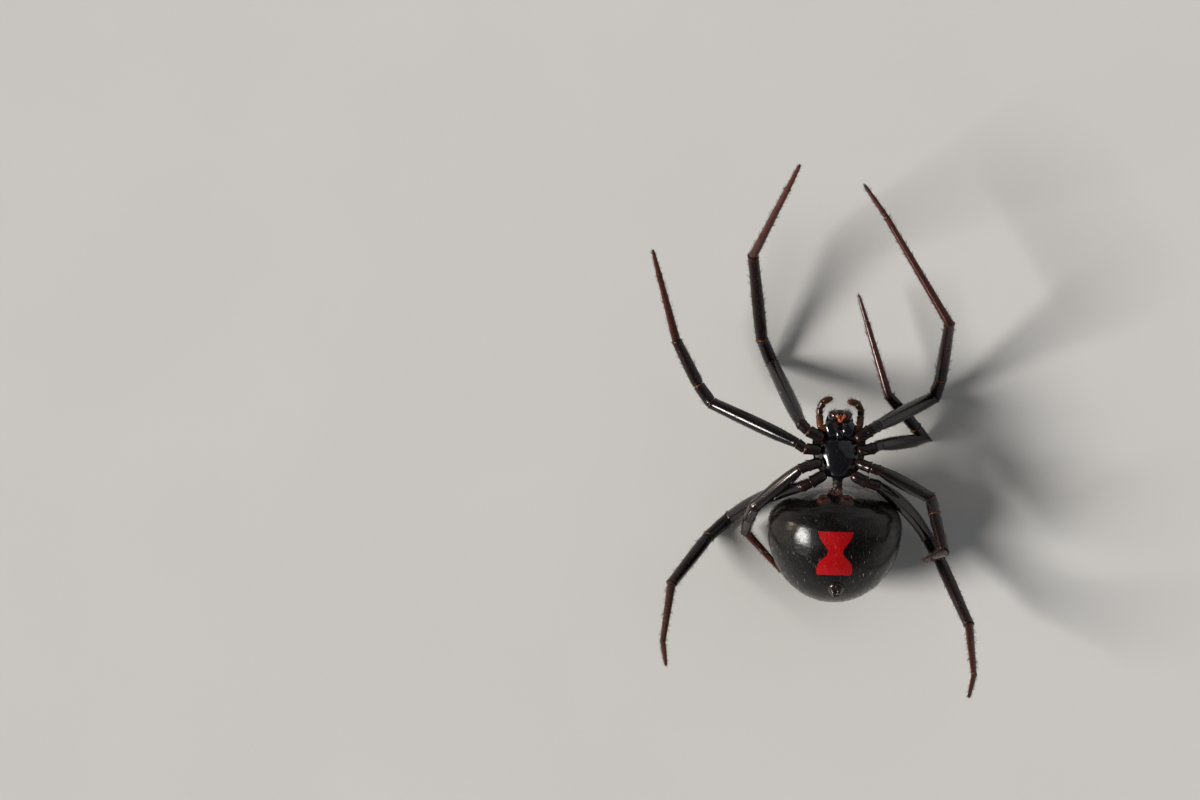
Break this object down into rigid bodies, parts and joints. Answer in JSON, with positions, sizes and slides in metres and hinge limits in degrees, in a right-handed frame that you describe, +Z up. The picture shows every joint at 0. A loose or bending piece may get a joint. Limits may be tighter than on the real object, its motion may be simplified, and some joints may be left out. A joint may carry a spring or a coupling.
{
  "type": "black widow spider model",
  "caption": "Life-size model of a female black widow spider lying on its back, legs held out as in its web, with a red hourglass on a glossy black belly.",
  "frame": {"origin": "on the small flat of the abdomen's back that the spider lies on, below the abdomen's widest section", "axes": "+X towards the spider's right side, -Y forwards past the head, +Z up, which is the spider's belly side"},
  "size_m": [0.0229, 0.0352, 0.0142],
  "materials": {
    "abdomen": "glossy jet-black skin with a red hourglass on the belly side and fine short hairs",
    "cuticle": "polished black cuticle with a faint blue sheen",
    "distal_legs": "dark reddish-brown cuticle with short bristles",
    "mouthparts": "very dark brown cuticle, orange-brown at the fangs",
    "eyes": "wet black, clear-coated",
    "pedicel": "leathery dark brown stalk"
  },
  "bodies": {
    "root": {"abdomen": "abdomen", "carapace": "cuticle", "sternum": "cuticle", "endites_and_labium": "cuticle", "pedicel": "pedicel", "spinnerets": "mouthparts", "chelicera_right": "mouthparts", "chelicera_left": "mouthparts", "palp_right": "distal_legs", "palp_left": "distal_legs", "eye_anterior_median_right": "eyes", "eye_anterior_median_left": "eyes", "eye_anterior_lateral_right": "eyes", "eye_anterior_lateral_left": "eyes", "eye_posterior_median_right": "eyes", "eye_posterior_median_left": "eyes", "eye_posterior_lateral_right": "eyes", "eye_posterior_lateral_left": "eyes", "leg_right_1_coxa": "cuticle", "leg_right_1_femur": "cuticle", "leg_right_1_patella": "cuticle", "leg_right_1_tibia": "cuticle", "leg_right_1_tarsus": "distal_legs", "leg_right_2_coxa": "cuticle", "leg_right_2_femur": "cuticle", "leg_right_2_patella": "cuticle", "leg_right_2_tibia": "cuticle", "leg_right_2_tarsus": "distal_legs", "leg_right_3_coxa": "cuticle", "leg_right_3_femur": "cuticle", "leg_right_3_patella": "cuticle", "leg_right_3_tibia": "cuticle", "leg_right_3_tarsus": "distal_legs", "leg_right_4_coxa": "cuticle", "leg_right_4_femur": "cuticle", "leg_right_4_patella": "cuticle", "leg_right_4_tibia": "cuticle", "leg_right_4_tarsus": "distal_legs", "leg_left_1_coxa": "cuticle", "leg_left_1_femur": "cuticle", "leg_left_1_patella": "cuticle", "leg_left_1_tibia": "cuticle", "leg_left_1_tarsus": "distal_legs", "leg_left_2_coxa": "cuticle", "leg_left_2_femur": "cuticle", "leg_left_2_patella": "cuticle", "leg_left_2_tibia": "cuticle", "leg_left_2_tarsus": "distal_legs", "leg_left_3_coxa": "cuticle", "leg_left_3_femur": "cuticle", "leg_left_3_patella": "cuticle", "leg_left_3_tibia": "cuticle", "leg_left_3_tarsus": "distal_legs", "leg_left_4_coxa": "cuticle", "leg_left_4_femur": "cuticle", "leg_left_4_patella": "cuticle", "leg_left_4_tibia": "cuticle", "leg_left_4_tarsus": "distal_legs"}
  },
  "joints": []
}
